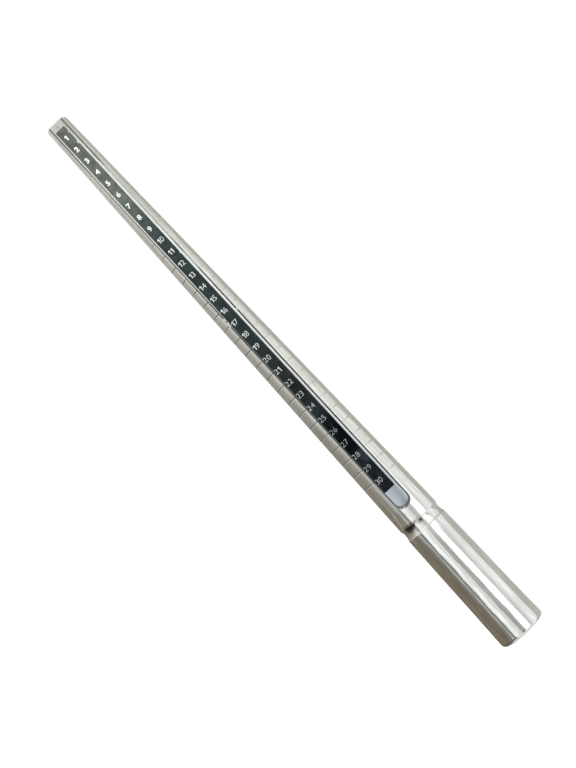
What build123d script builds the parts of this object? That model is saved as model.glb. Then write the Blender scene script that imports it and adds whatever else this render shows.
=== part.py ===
from build123d import *
import os
from math import acos, asin, atan, cos, degrees, pi, radians, sin, tan

# A ring sizing stick: a turned taper with a handle, and a numbered strip let into it.
# It stands on the flat end of its handle. The axis is Z, the tip is up and the strip faces -Y.
# All sizes are in millimetres.

# Ring scale: from one size to the next, the inside circumference of a ring grows evenly
size_count = 30
first_circumference = 41.0
circumference_rise = 1.0
size_pitch = 8.2

# Size lines, turned into the taper as fine V grooves
line_width = 0.7
line_depth = 0.2

# Taper, from its last size line up to the tip and down to the polished band
tip_margin = 9.8
scale_margin = 27.3
tip_edge_break = 0.35

# Centre hole that the lathe's tailstock leaves in the tip
centre_hole_diameter = 2.0
centre_hole_depth = 5.0
countersink_diameter = 4.0
countersink_angle = 60.0

# Polished band that ends the taper in a sharp shoulder
band_length = 9.0
band_rise = 0.1

# Neck, undercut below the shoulder, then rising in a long hollow to the handle's lip
neck_length = 5.6
neck_depth = 0.55
cove_radius = 5.0
lip_rise = 0.2
lip_length = 0.3

# Handle, a plain swelling taper with a rounded end
handle_length = 69.4
handle_step = 0.12
handle_end_diameter = 25.8
handle_edge_radius = 2.0

# Slot, milled parallel to the taper's surface, open at the tip and round at its end
slot_width = 9.0
slot_depth = 2.0
slot_end_margin = 7.8

# Strip, lying loosely between the slot's walls on its floor
strip_thickness = 0.5
strip_left_gap = 0.65
strip_right_gap = 0.75
strip_tip_gap = 0.2
strip_end_gap = 1.5

# Black field printed on the strip's face, growing wider on its left towards the last size
field_thickness = 0.1
field_lead = 5.35
field_run_out = 7.4
field_left_margin_at_tip = 0.65
field_left_margin_at_end = 0.1
field_right_margin = 1.05
field_corner_radius = 0.4

# Heights that follow from the sizes above
shoulder_height = handle_length + neck_length
band_top_height = shoulder_height + band_length
last_line_height = shoulder_height + scale_margin
first_line_height = last_line_height + (size_count - 1) * size_pitch
overall_height = first_line_height + tip_margin

# The taper's radius changes by one size over one pitch
taper_slope = circumference_rise / (2 * pi) / size_pitch
taper_angle = atan(taper_slope)


def ring_radius(size):
    """Inside radius of a ring of this size."""
    return (first_circumference + (size - 1) * circumference_rise) / (2 * pi)


def taper_radius(height):
    """Radius of the plain taper at a height above the handle's end."""
    return ring_radius(size_count) - (height - last_line_height) * taper_slope


shoulder_radius = taper_radius(band_top_height) + band_rise
neck_floor_radius = shoulder_radius - neck_depth
handle_start_radius = shoulder_radius + handle_step
handle_end_radius = handle_end_diameter / 2

# The neck's two arcs meet at its thinnest place, both running along the axis there
cove_turn = acos(1 - neck_depth / cove_radius)
neck_floor_height = shoulder_height - cove_radius * sin(cove_turn)
hollow_length = neck_floor_height - handle_length
hollow_rise = handle_start_radius - lip_rise - neck_floor_radius
hollow_radius = (hollow_length**2 + hollow_rise**2) / (2 * hollow_rise)
hollow_turn = asin(hollow_length / hollow_radius)


def size_line_points():
    """Corners of the V grooves in the half section, from the last size up to the first."""
    points = []
    for size in range(size_count, 0, -1):
        height = last_line_height + (size_count - size) * size_pitch
        below = height - line_width / 2
        above = height + line_width / 2
        points += [
            (taper_radius(below), below),
            (ring_radius(size) - line_depth, height),
            (taper_radius(above), above),
        ]
    return points


def turned_stick():
    """Handle, neck, band and taper as one revolved half section."""
    handle = Polyline(
        (0, 0),
        (handle_end_radius, 0),
        (handle_start_radius, handle_length - lip_length),
        (handle_start_radius - lip_rise, handle_length),
    )
    hollow = CenterArc(
        (neck_floor_radius + hollow_radius, neck_floor_height),
        hollow_radius,
        180,
        degrees(hollow_turn),
    )
    cove = CenterArc(
        (neck_floor_radius + cove_radius, neck_floor_height),
        cove_radius,
        180,
        -degrees(cove_turn),
    )
    band_and_taper = Polyline(
        (shoulder_radius, shoulder_height),
        (taper_radius(band_top_height), band_top_height),
        *size_line_points(),
        (taper_radius(overall_height), overall_height),
        (0, overall_height),
        (0, 0),
    )
    half_section = make_face(
        handle.edges() + hollow.edges() + cove.edges() + band_and_taper.edges()
    )
    stick = revolve(Plane.XZ * half_section, Axis.Z)
    stick = fillet(stick.edges().group_by(Axis.Z)[0], handle_edge_radius)
    return chamfer(stick.edges().group_by(Axis.Z)[-1], tip_edge_break)


def centre_hole():
    """Pilot hole and cone, opening upwards at the tip."""
    cone_depth = (countersink_diameter - centre_hole_diameter) / 2 / tan(radians(countersink_angle / 2))
    mouth = Pos(0, 0, overall_height)
    pilot = mouth * Cylinder(
        centre_hole_diameter / 2,
        centre_hole_depth,
        align=(Align.CENTER, Align.CENTER, Align.MAX),
    )
    cone = mouth * Cone(
        centre_hole_diameter / 2,
        countersink_diameter / 2,
        cone_depth,
        align=(Align.CENTER, Align.CENTER, Align.MAX),
    )
    return pilot + cone


# Plane on the taper's crest at the tip: x across, y along the crest towards the tip, z outward
crest_plane = Plane(
    origin=(0, -taper_radius(overall_height), overall_height),
    x_dir=(1, 0, 0),
    z_dir=(0, -cos(taper_angle), sin(taper_angle)),
)
floor_plane = crest_plane.offset(-slot_depth)
strip_face_plane = floor_plane.offset(strip_thickness)

slot_end_height = shoulder_height + slot_end_margin
slot_length = (overall_height - slot_end_height) / cos(taper_angle)
strip_width = slot_width - strip_left_gap - strip_right_gap
strip_centre = (strip_left_gap - strip_right_gap) / 2


def crest_distance(height):
    """Place along the crest plane's y of a height on the stick."""
    return (height - overall_height) / cos(taper_angle)


def round_ended_bar(width, top, bottom):
    """Flat bar along y, square at the top and half round at the bottom."""
    round_centre = bottom + width / 2
    square_part = Pos(0, top) * Rectangle(
        width, top - round_centre, align=(Align.CENTER, Align.MAX)
    )
    return square_part + Pos(0, round_centre) * Circle(width / 2)


def slot_cutter():
    """The milled slot, running out past the tip and clear above the crest."""
    bar = round_ended_bar(slot_width, slot_width, -slot_length)
    return extrude(floor_plane * bar, 2 * slot_depth)


def strip():
    """Thin strip with a half round end, lying on the slot's floor."""
    bar = round_ended_bar(strip_width, -strip_tip_gap, -slot_length + strip_end_gap)
    return extrude(floor_plane * Pos(strip_centre, 0) * bar, strip_thickness)


def printed_field():
    """Black field on the strip's face, from before the first size to past the last."""
    left_edge = strip_centre - strip_width / 2
    right_edge = strip_centre + strip_width / 2
    top = crest_distance(first_line_height + field_lead)
    bottom = crest_distance(last_line_height - field_run_out)
    outline = Polyline(
        (left_edge + field_left_margin_at_tip, top),
        (right_edge - field_right_margin, top),
        (right_edge - field_right_margin, bottom),
        (left_edge + field_left_margin_at_end, bottom),
        close=True,
    )
    field = make_face(outline)
    field = fillet(field.vertices(), field_corner_radius)
    return extrude(strip_face_plane * field, field_thickness)


nodes = {
    "mandrel": turned_stick() - centre_hole() - slot_cutter(),
    "scale_strip": strip(),
    "scale_field": printed_field(),
}

os.makedirs("parts", exist_ok=True)
for name, shape in nodes.items():
    export_step(shape, f"parts/{name}.step")
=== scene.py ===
import math

import bmesh
import bpy
from mathutils import Matrix, Vector
from mathutils.geometry import tessellate_polygon


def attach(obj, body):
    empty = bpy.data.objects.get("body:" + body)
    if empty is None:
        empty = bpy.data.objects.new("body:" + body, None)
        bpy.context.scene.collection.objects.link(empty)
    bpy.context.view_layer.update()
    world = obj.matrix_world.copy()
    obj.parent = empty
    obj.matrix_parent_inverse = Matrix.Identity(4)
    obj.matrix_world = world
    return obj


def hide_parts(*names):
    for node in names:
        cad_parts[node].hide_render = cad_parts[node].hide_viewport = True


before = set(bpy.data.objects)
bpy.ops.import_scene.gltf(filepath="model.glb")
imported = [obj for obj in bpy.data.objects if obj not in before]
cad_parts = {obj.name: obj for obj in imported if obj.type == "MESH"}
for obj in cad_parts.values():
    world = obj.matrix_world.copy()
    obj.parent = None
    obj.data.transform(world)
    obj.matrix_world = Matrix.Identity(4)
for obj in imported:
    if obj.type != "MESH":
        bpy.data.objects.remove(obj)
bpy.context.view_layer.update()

MM = 0.001

# The image is taken to be this many pixels tall, and the camera's sensor spans that side
IMAGE_LONG_SIDE = 768
SENSOR_WIDTH_MM = 36.0

# Ring scale: the inside circumference of a ring grows by one step from size to size
size_count = 30
first_circumference = 41.0 * MM
circumference_rise = 1.0 * MM
size_pitch = 8.2 * MM

# The stick, as the frame has it
line_width = 0.7 * MM
line_depth = 0.2 * MM
tip_margin = 9.8 * MM
scale_margin = 27.3 * MM
tip_edge_break = 0.35 * MM
centre_hole_radius = 1.0 * MM
centre_hole_depth = 5.0 * MM
countersink_radius = 2.0 * MM
countersink_angle = 60.0
band_length = 9.0 * MM
band_rise = 0.1 * MM
neck_length = 5.6 * MM
neck_depth = 0.55 * MM
cove_radius = 5.0 * MM
lip_rise = 0.2 * MM
lip_length = 0.3 * MM
handle_length = 69.4 * MM
handle_step = 0.12 * MM
handle_end_radius = 12.9 * MM
handle_edge_radius = 2.0 * MM
slot_width = 9.0 * MM
slot_depth = 2.0 * MM
slot_end_margin = 7.8 * MM
strip_thickness = 0.5 * MM
strip_left_gap = 0.65 * MM
strip_right_gap = 0.75 * MM
strip_tip_gap = 0.2 * MM
strip_end_gap = 1.5 * MM
field_thickness = 0.1 * MM

shoulder_height = handle_length + neck_length
band_top_height = shoulder_height + band_length
last_line_height = shoulder_height + scale_margin
first_line_height = last_line_height + (size_count - 1) * size_pitch
overall_height = first_line_height + tip_margin
slot_end_height = shoulder_height + slot_end_margin
taper_slope = circumference_rise / (2 * math.pi) / size_pitch
taper_angle = math.atan(taper_slope)


def ring_radius(size):
    """Inside radius of a ring of this size."""
    return (first_circumference + (size - 1) * circumference_rise) / (2 * math.pi)


def taper_radius(height):
    """Radius of the plain taper at a height above the handle's end."""
    return ring_radius(size_count) - (height - last_line_height) * taper_slope


def size_line_height(size):
    """Height of a size's line above the handle's end."""
    return last_line_height + (size_count - size) * size_pitch


shoulder_radius = taper_radius(band_top_height) + band_rise
neck_floor_radius = shoulder_radius - neck_depth
handle_start_radius = shoulder_radius + handle_step

# Frame on the taper's crest at the tip: x across, y along the crest to the tip, z outward
crest_frame = Matrix(
    (
        (1, 0, 0, 0),
        (0, math.sin(taper_angle), -math.cos(taper_angle), -taper_radius(overall_height)),
        (0, math.cos(taper_angle), math.sin(taper_angle), overall_height),
        (0, 0, 0, 1),
    )
)


def crest_distance(height):
    """The crest frame's y of a height on the stick."""
    return (height - overall_height) / math.cos(taper_angle)


# The camera's side: the whole studio is turned by this about the axis, towards +X
camera_turn = 1.3


def bearing_point(bearing, distance, height):
    """Point at a bearing from the axis, counted from the camera's side towards +X."""
    turn = math.radians(bearing + camera_turn)
    return (distance * math.sin(turn), -distance * math.cos(turn), height)


# Points nearer than this are one point
WELD_REACH = 0.0001 * MM


def new_object(name, vertices, faces, finishes=None):
    """Object from vertices, faces and each face's finish, welded and turned outward."""
    mesh = bpy.data.meshes.new(name)
    mesh.from_pydata([tuple(v) for v in vertices], [], faces)
    if finishes:
        mesh.polygons.foreach_set("material_index", finishes)
    work = bmesh.new()
    work.from_mesh(mesh)
    bmesh.ops.remove_doubles(work, verts=work.verts, dist=WELD_REACH)
    bmesh.ops.dissolve_degenerate(work, edges=work.edges, dist=WELD_REACH)
    bmesh.ops.recalc_face_normals(work, faces=work.faces)
    work.to_mesh(mesh)
    work.free()
    made = bpy.data.objects.new(name, mesh)
    bpy.context.collection.objects.link(made)
    return made


def smooth_below(made, degrees):
    """Smooth shading with sharp edges where two faces turn by more than this angle."""
    made.data.shade_smooth()
    made.data.set_sharp_from_angle(angle=math.radians(degrees))


# Turned stick, built finer than the frame so that its polish shows clean reflections
ROUND_STEPS = 192
EDGE_STEPS = 14
COVE_STEPS = 10
HOLLOW_STEPS = 12
SLOT_END_STEPS = 28
STICK_SHARP_ANGLE = 18
ROW_TOLERANCE = 0.001 * MM
# The last two finishes carry painted shade: the slot's and the size lines'
SATIN, POLISHED, SLOT_SHADE, LINE_SHADE = range(4)
slot_edge_break = 0.12 * MM
slot_half_width = slot_width / 2
slot_end_centre = slot_end_height + slot_half_width


def handle_radius(height):
    """Radius of the handle's straight side."""
    share = height / (handle_length - lip_length)
    return handle_end_radius + (handle_start_radius - handle_end_radius) * share


def lower_rows():
    """Height and radius from the handle's flat end up to the top of the band."""
    side_turn = math.atan((handle_end_radius - handle_start_radius) / (handle_length - lip_length))
    edge_centre = handle_radius(handle_edge_radius) - handle_edge_radius / math.cos(side_turn)
    rows = []
    for step in range(EDGE_STEPS + 1):
        turn = -math.pi / 2 + (side_turn + math.pi / 2) * step / EDGE_STEPS
        rows.append(
            (
                handle_edge_radius + handle_edge_radius * math.sin(turn),
                edge_centre + handle_edge_radius * math.cos(turn),
            )
        )
    rows.append((handle_length - lip_length, handle_start_radius))
    cove_turn = math.acos(1 - neck_depth / cove_radius)
    neck_floor_height = shoulder_height - cove_radius * math.sin(cove_turn)
    hollow_length = neck_floor_height - handle_length
    hollow_rise = handle_start_radius - lip_rise - neck_floor_radius
    hollow_radius = (hollow_length**2 + hollow_rise**2) / (2 * hollow_rise)
    hollow_turn = math.asin(hollow_length / hollow_radius)
    turns = []
    for step in range(HOLLOW_STEPS, 0, -1):
        turns.append((hollow_radius, -hollow_turn * step / HOLLOW_STEPS))
    for step in range(COVE_STEPS + 1):
        turns.append((cove_radius, cove_turn * step / COVE_STEPS))
    for radius, turn in turns:
        rows.append(
            (
                neck_floor_height + radius * math.sin(turn),
                neck_floor_radius + radius * (1 - math.cos(turn)),
            )
        )
    return rows


def band_radius(height):
    """Radius of the stick anywhere above the shoulder, its size lines left out."""
    if height >= band_top_height:
        return taper_radius(height)
    share = (height - shoulder_height) / band_length
    return shoulder_radius + (taper_radius(band_top_height) - shoulder_radius) * share


def upper_rows():
    """Height and radius from the band up over the size lines to the tip's broken edge."""
    heights = {band_top_height}
    reach = slot_half_width + slot_edge_break
    for step in range(SLOT_END_STEPS + 1):
        turn = math.pi / 2 * step / SLOT_END_STEPS
        heights.add(slot_end_centre - reach * math.cos(turn))
    rows = [(height, band_radius(height)) for height in heights]
    for size in range(1, size_count + 1):
        height = size_line_height(size)
        rows.append((height, ring_radius(size) - line_depth))
        for side in (-line_width / 2, line_width / 2):
            rows.append((height + side, taper_radius(height + side)))
    tip_radius = taper_radius(overall_height)
    rows.append((overall_height - tip_edge_break, taper_radius(overall_height - tip_edge_break)))
    rows.append((overall_height, tip_radius - tip_edge_break))
    return sorted(rows)


def slot_points(height, radius):
    """Skin edge, wall top and wall foot of the slot's right side at a row; None below the slot."""
    reach = slot_half_width + slot_edge_break
    below_centre = slot_end_centre - height
    if below_centre > reach + WELD_REACH:
        return None
    if below_centre > 0:
        turn = math.acos(min(1, below_centre / reach))
        skin_x, wall_x = reach * math.sin(turn), slot_half_width * math.sin(turn)
        wall_height = slot_end_centre - slot_half_width * math.cos(turn)
    else:
        skin_x, wall_x, wall_height = reach, slot_half_width, height
    floor = taper_radius(wall_height) - slot_depth
    widest = math.sqrt(radius**2 - floor**2)
    if widest <= skin_x:
        edge = Vector((widest, -floor, height))
        return edge, edge.copy(), edge.copy()
    skin = Vector((skin_x, -math.sqrt(radius**2 - skin_x**2), height))
    top = Vector((wall_x, skin.y + slot_edge_break, wall_height))
    foot = Vector((wall_x, -floor, wall_height))
    return skin, top, foot


def mirrored(point):
    """The same point on the stick's other side."""
    return Vector((-point.x, point.y, point.z))


def build_mandrel():
    """The whole turned stick with its slot, its flat end and its centre hole."""
    vertices, faces, finishes = [], [], []

    def add(point):
        vertices.append(Vector(point))
        return len(vertices) - 1

    rows = lower_rows() + upper_rows()
    skin, right, left = [], [], []
    for height, radius in rows:
        cut = slot_points(height, radius)
        start = math.asin(min(1, cut[0].x / radius)) if cut else 0.0
        ring = []
        for step in range(ROUND_STEPS + 1):
            turn = start + (2 * math.pi - 2 * start) * step / ROUND_STEPS
            ring.append(add((radius * math.sin(turn), -radius * math.cos(turn), height)))
        skin.append(ring)
        right.append([ring[0], add(cut[1]), add(cut[2])] if cut else None)
        left.append([ring[-1], add(mirrored(cut[1])), add(mirrored(cut[2]))] if cut else None)
    line_heights = {size_line_height(size) for size in range(1, size_count + 1)}
    for index, (lower, upper) in enumerate(zip(skin, skin[1:])):
        height = rows[index][0]
        polished = height < band_top_height - ROW_TOLERANCE
        finish = POLISHED if polished else LINE_SHADE if height in line_heights else SATIN
        for step in range(ROUND_STEPS):
            faces.append((lower[step], lower[step + 1], upper[step + 1], upper[step]))
            finishes.append(finish)
    for index in range(len(rows) - 1):
        if right[index] is None:
            continue
        for side in (right, left):
            lower, upper = side[index], side[index + 1]
            for part, finish in enumerate((SATIN, SLOT_SHADE)):
                faces.append((lower[part], lower[part + 1], upper[part + 1], upper[part]))
                finishes.append(finish)
        faces.append((right[index][2], left[index][2], left[index + 1][2], right[index + 1][2]))
        finishes.append(SLOT_SHADE)
    faces.append(tuple(skin[0][:-1]))
    finishes.append(POLISHED)
    add_tip_face(vertices, faces, add, skin[-1], right[-1], left[-1])
    finishes += [SATIN] * (len(faces) - len(finishes))
    made = new_object("turned_stick", vertices, faces, finishes)
    smooth_below(made, STICK_SHARP_ANGLE)
    return made


def add_tip_face(vertices, faces, add, ring, right_side, left_side):
    """Flat face at the tip with the centre hole's cone and pilot hole."""
    outer = []
    edge = [*ring, *reversed(left_side[1:]), *right_side[1:]]
    for before, index in zip([edge[-1], *edge], edge):
        if (vertices[index] - vertices[before]).length > ROW_TOLERANCE:
            outer.append(index)
    cone_slope = math.tan(math.radians(countersink_angle / 2))
    cone_depth = (countersink_radius - centre_hole_radius) / cone_slope
    hole_rows = (
        (overall_height, countersink_radius),
        (overall_height - cone_depth, centre_hole_radius),
        (overall_height - centre_hole_depth, centre_hole_radius),
    )
    hole_steps = ROUND_STEPS // 4
    rings = []
    for height, radius in hole_rows:
        rings.append(
            [
                add((radius * math.sin(turn), -radius * math.cos(turn), height))
                for turn in (2 * math.pi * step / hole_steps for step in range(hole_steps))
            ]
        )
    loops = [outer, rings[0]]
    flat = [index for loop in loops for index in loop]
    for face in tessellate_polygon([[vertices[i] for i in loop] for loop in loops]):
        faces.append(tuple(flat[i] for i in face))
    for upper, lower in zip(rings, rings[1:]):
        for step in range(hole_steps):
            after = (step + 1) % hole_steps
            faces.append((upper[step], upper[after], lower[after], lower[step]))
    faces.append(tuple(rings[-1]))


# Scale strip: a flat bar with a half round end, its right edge bent down a little.
# Its edges run over these depths below its face, drawn in on the left and on the right.
STRIP_END_STEPS = 48
STRIP_SHARP_ANGLE = 50
STRIP_EDGES_MM = ((0.14, 0, 0), (0.12, 0, 0.03), (0.04, 0.03, 0.33), (0, 0.12, 0.48))
strip_width = slot_width - strip_left_gap - strip_right_gap
strip_centre = (strip_left_gap - strip_right_gap) / 2
strip_top = -strip_tip_gap
strip_bottom = crest_distance(slot_end_height) + strip_end_gap


def bar_outline(inset, right_inset):
    """Outline of the strip in the crest frame, drawn in from its edges and from its right one."""
    half = (strip_width - inset - right_inset) / 2
    middle = strip_centre + (inset - right_inset) / 2
    round_centre = strip_bottom + strip_width / 2
    points = [(middle + half, strip_top - inset), (middle - half, strip_top - inset)]
    for step in range(STRIP_END_STEPS + 1):
        turn = math.pi * step / STRIP_END_STEPS
        reach = strip_width / 2 - inset
        points.append((middle - half * math.cos(turn), round_centre - reach * math.sin(turn)))
    return points


def build_strip():
    """The strip, lying on the slot's floor."""
    floor = -slot_depth
    face = floor + strip_thickness
    levels = [(0, 0, floor)]
    for depth, inset, right_inset in STRIP_EDGES_MM:
        levels.append((inset * MM, right_inset * MM, face - depth * MM))
    vertices, faces = [], []
    for inset, right_inset, depth in levels:
        outline = bar_outline(inset, right_inset)
        vertices += [crest_frame @ Vector((x, y, depth)) for x, y in outline]
    count = len(vertices) // len(levels)
    for level in range(len(levels) - 1):
        for step in range(count):
            after = (step + 1) % count
            low, up = level * count, (level + 1) * count
            faces.append((low + step, low + after, up + after, up + step))
    faces.append(tuple(range(count)))
    faces.append(tuple(range((len(levels) - 1) * count, len(levels) * count)))
    made = new_object("numbered_strip", vertices, faces)
    smooth_below(made, STRIP_SHARP_ANGLE)
    return made


# Numerals, one for each size, printed on the black field a little below its line. After the
# last evenly placed size they drop more. The shift is to the right of the strip's middle.
FIRST_PAIR = 10
LAST_EVEN_SIZE = 27
single_height = 3.0 * MM
pair_height = 2.8 * MM
numeral_drop = 0.5 * MM
late_drop = 0.13 * MM
numeral_film = 0.02 * MM
single_shift = -0.75 * MM
FIRST_PAIR_SHIFT_MM, PAIR_SHIFT_STEP_MM, PAIR_SHIFT_STEPS = -0.6, -0.1, 11

# Gap between two digits and weight of the digits, in units of a digit's height
DIGIT_GAP = 0.15
SINGLE_WEIGHT = 0.04
ROUND_SINGLES, ROUND_WEIGHT = (6, 8, 9), 0.025
PAIR_WEIGHT = -0.008
CURVE_STEPS = 6
STEM_LEFT, STEM_RIGHT, FLAG_TOP, FLAG_LOW = 0.24, 0.43, 0.78, 0.6


def plain_one(weight):
    """The digit 1 as a stem and a flag without a foot, one unit tall."""
    left = STEM_LEFT - weight
    points = [
        (left, 0),
        (STEM_RIGHT, 0),
        (STEM_RIGHT, 1),
        (left + 0.04, 1),
        (0, FLAG_TOP),
        (0, FLAG_LOW - weight),
        (left, FLAG_LOW + 0.1 - weight),
    ]
    mesh = bpy.data.meshes.new("one")
    mesh.from_pydata([(x, y, 0) for x, y in points], [], [(0, 1, 2, 3, 6), (3, 4, 5, 6)])
    return mesh


def digit_mesh(digit, weight):
    """Flat mesh of a digit from x = 0, one unit tall, and its width."""
    if digit == "1":
        mesh = plain_one(weight)
    else:
        letters = bpy.data.curves.new("digit", "FONT")
        letters.body = digit
        letters.offset = weight
        letters.resolution_u = CURVE_STEPS
        holder = bpy.data.objects.new("digit", letters)
        bpy.context.collection.objects.link(holder)
        bpy.context.view_layer.update()
        ready = holder.evaluated_get(bpy.context.evaluated_depsgraph_get())
        mesh = bpy.data.meshes.new_from_object(ready)
        bpy.data.objects.remove(holder)
    xs = [v.co.x for v in mesh.vertices]
    ys = [v.co.y for v in mesh.vertices]
    tall = max(ys) - min(ys)
    mesh.transform(Matrix.Scale(1 / tall, 4) @ Matrix.Translation((-min(xs), -min(ys), 0)))
    return mesh, (max(xs) - min(xs)) / tall


def numeral_shift(size):
    """How far a number stands to the right of the strip's middle line."""
    if size < FIRST_PAIR:
        return single_shift
    steps = min(size - FIRST_PAIR, PAIR_SHIFT_STEPS)
    return (FIRST_PAIR_SHIFT_MM + PAIR_SHIFT_STEP_MM * steps) * MM


def build_numerals():
    """All the numbers as one flat piece, a film's thickness above the black field."""
    work = bmesh.new()
    face_depth = -slot_depth + strip_thickness + field_thickness + numeral_film
    for size in range(1, size_count + 1):
        weight, height = PAIR_WEIGHT, pair_height
        if size < FIRST_PAIR:
            weight = ROUND_WEIGHT if size in ROUND_SINGLES else SINGLE_WEIGHT
            height = single_height
        digits = [digit_mesh(digit, weight) for digit in str(size)]
        across = sum(width for mesh, width in digits) + DIGIT_GAP * (len(digits) - 1)
        drop = numeral_drop + late_drop * max(0, size - LAST_EVEN_SIZE)
        middle = crest_distance(size_line_height(size) - drop)
        start = -across / 2
        for mesh, width in digits:
            place = Matrix.Translation((numeral_shift(size), middle, face_depth))
            scale = Matrix.Scale(height, 4)
            mesh.transform(crest_frame @ place @ scale @ Matrix.Translation((start, -0.5, 0)))
            work.from_mesh(mesh)
            bpy.data.meshes.remove(mesh)
            start += width + DIGIT_GAP
    joined = bpy.data.meshes.new("scale_numerals")
    work.to_mesh(joined)
    work.free()
    made = bpy.data.objects.new("scale_numerals", joined)
    bpy.context.collection.objects.link(made)
    return made


# Shader nodes
def put(tree, kind, inputs=None, **settings):
    """A new node with its settings, its inputs being plain values or other nodes' sockets."""
    made = tree.nodes.new(kind)
    for name, value in settings.items():
        setattr(made, name, value)
    for name, value in (inputs or {}).items():
        if isinstance(value, bpy.types.NodeSocket):
            tree.links.new(value, made.inputs[name])
        else:
            made.inputs[name].default_value = value
    return made


def math_node(tree, operation, first, second=0.0, clamp=False):
    """The result of a Math node."""
    made = put(tree, "ShaderNodeMath", {0: first, 1: second}, operation=operation, use_clamp=clamp)
    return made.outputs[0]


def spread(tree, value, low, high, new_low=0.0, new_high=1.0, smooth=True):
    """A value mapped from one range to another and held inside it."""
    made = put(
        tree,
        "ShaderNodeMapRange",
        {"Value": value, "From Min": low, "From Max": high, "To Min": new_low, "To Max": new_high},
        interpolation_type="SMOOTHSTEP" if smooth else "LINEAR",
    )
    return made.outputs[0]


def blend_colours(tree, share, first, second):
    """Mix of two colours by a share, each a plain colour or a socket."""
    made = put(tree, "ShaderNodeMix", data_type="RGBA")
    for index, value in ((0, share), (6, first), (7, second)):
        if isinstance(value, bpy.types.NodeSocket):
            tree.links.new(value, made.inputs[index])
        else:
            made.inputs[index].default_value = value if index == 0 else (*value, 1)
    return made.outputs[2]


def colour_ramp(tree, value, stops):
    """Colour from a value between 0 and 1 over stops of place and colour."""
    made = put(tree, "ShaderNodeValToRGB", {"Fac": value})
    elements = made.color_ramp.elements
    while len(elements) < len(stops):
        elements.new(0.5)
    for element, (place, colour) in zip(elements, stops):
        element.position = place
        element.color = (*colour, 1)
    return made.outputs[0]


def object_place(tree):
    """Object coordinates, in metres."""
    return put(tree, "ShaderNodeTexCoord").outputs["Object"]


def new_group(name, inputs, outputs):
    """Empty shader group with its sockets; gives the group, its input node and its output node."""
    group = bpy.data.node_groups.new(name, "ShaderNodeTree")
    for label, kind, value in inputs:
        socket = group.interface.new_socket(label, in_out="INPUT", socket_type=kind)
        socket.default_value = value
    for label, kind in outputs:
        group.interface.new_socket(label, in_out="OUTPUT", socket_type=kind)
    return group, group.nodes.new("NodeGroupInput"), group.nodes.new("NodeGroupOutput")


def use_group(tree, group, **values):
    """A group placed in a material, with its own values."""
    made = tree.nodes.new("ShaderNodeGroup")
    made.node_tree = group
    for name, value in values.items():
        made.inputs[name.replace("_", " ").capitalize()].default_value = value
    return made


FLOAT, VECTOR = "NodeSocketFloat", "NodeSocketVector"


def build_lathe_marks():
    """Fine rings round the axis: a height for bump and a tone near 1."""
    group, given, result = new_group(
        "lathe_marks",
        [("Pitch", FLOAT, 0.0003), ("Depth of tone", FLOAT, 0.04)],
        [("Height", FLOAT), ("Tone", FLOAT)],
    )
    split = put(group, "ShaderNodeSeparateXYZ", {0: object_place(group)})
    turns = math_node(group, "DIVIDE", split.outputs["Z"], given.outputs["Pitch"])
    fine = put(
        group,
        "ShaderNodeTexNoise",
        {"W": turns, "Scale": 1.0, "Detail": 3.0},
        noise_dimensions="1D",
    )
    level = math_node(group, "SUBTRACT", fine.outputs[0], 0.5)
    tone = math_node(group, "MULTIPLY", level, given.outputs["Depth of tone"])
    group.links.new(fine.outputs[0], result.inputs["Height"])
    group.links.new(math_node(group, "ADD", tone, 1.0), result.inputs["Tone"])
    return group


# Finer ripples on the polish's waves, as shares of their length, width and height, and the
# grain, as shares of their length and width and with the swing of its tone
RIPPLE_LENGTH, RIPPLE_WIDTH, RIPPLE_SHARE = 0.5, 0.16, 0.4
GRAIN_LENGTH, GRAIN_WIDTH, GRAIN_TONE = 0.7, 0.1, 0.75

# The polish is calmer on the right: from the first of these places in x to the last
calmer_start, calmer_end = -0.5 * MM, 4 * MM
CALMER_SHARE = 0.3


def build_hand_polish():
    """Waves, ripples and grain that hand polishing leaves, the waves weaker on the right."""
    group, given, result = new_group(
        "hand_polish",
        [("Length", FLOAT, 0.02), ("Width", FLOAT, 0.008)],
        [("Height", FLOAT), ("Tone", FLOAT)],
    )
    split = put(group, "ShaderNodeSeparateXYZ", {0: object_place(group)})
    noises = []
    for length, width in ((1, 1), (RIPPLE_LENGTH, RIPPLE_WIDTH), (GRAIN_LENGTH, GRAIN_WIDTH)):
        reach = math_node(group, "MULTIPLY", given.outputs["Length"], length)
        span = math_node(group, "MULTIPLY", given.outputs["Width"], width)
        along = math_node(group, "DIVIDE", split.outputs["Z"], reach)
        across = [math_node(group, "DIVIDE", split.outputs[axis], span) for axis in "XY"]
        place = put(group, "ShaderNodeCombineXYZ", {0: across[0], 1: across[1], 2: along})
        noise = put(
            group,
            "ShaderNodeTexNoise",
            {"Vector": place.outputs[0], "Scale": 1.0, "Detail": 1.0},
        )
        noises.append(noise.outputs[0])
    waves, ripples, grain = noises
    rough = math_node(group, "ADD", waves, math_node(group, "MULTIPLY", ripples, RIPPLE_SHARE))
    level = math_node(group, "SUBTRACT", rough, (1 + RIPPLE_SHARE) / 2)
    side = spread(group, split.outputs["X"], calmer_start, calmer_end, 1.0, CALMER_SHARE)
    group.links.new(math_node(group, "MULTIPLY", level, side), result.inputs["Height"])
    swing = math_node(group, "MULTIPLY", math_node(group, "SUBTRACT", grain, 0.5), GRAIN_TONE)
    group.links.new(math_node(group, "ADD", swing, 1.0), result.inputs["Tone"])
    return group


# Two layers of scratches: how each is turned, in radians, and its scale along each axis
SCRATCH_LAYERS = ((0.5, (900, 900, 70)), (-0.8, (1100, 1100, 110)))


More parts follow.
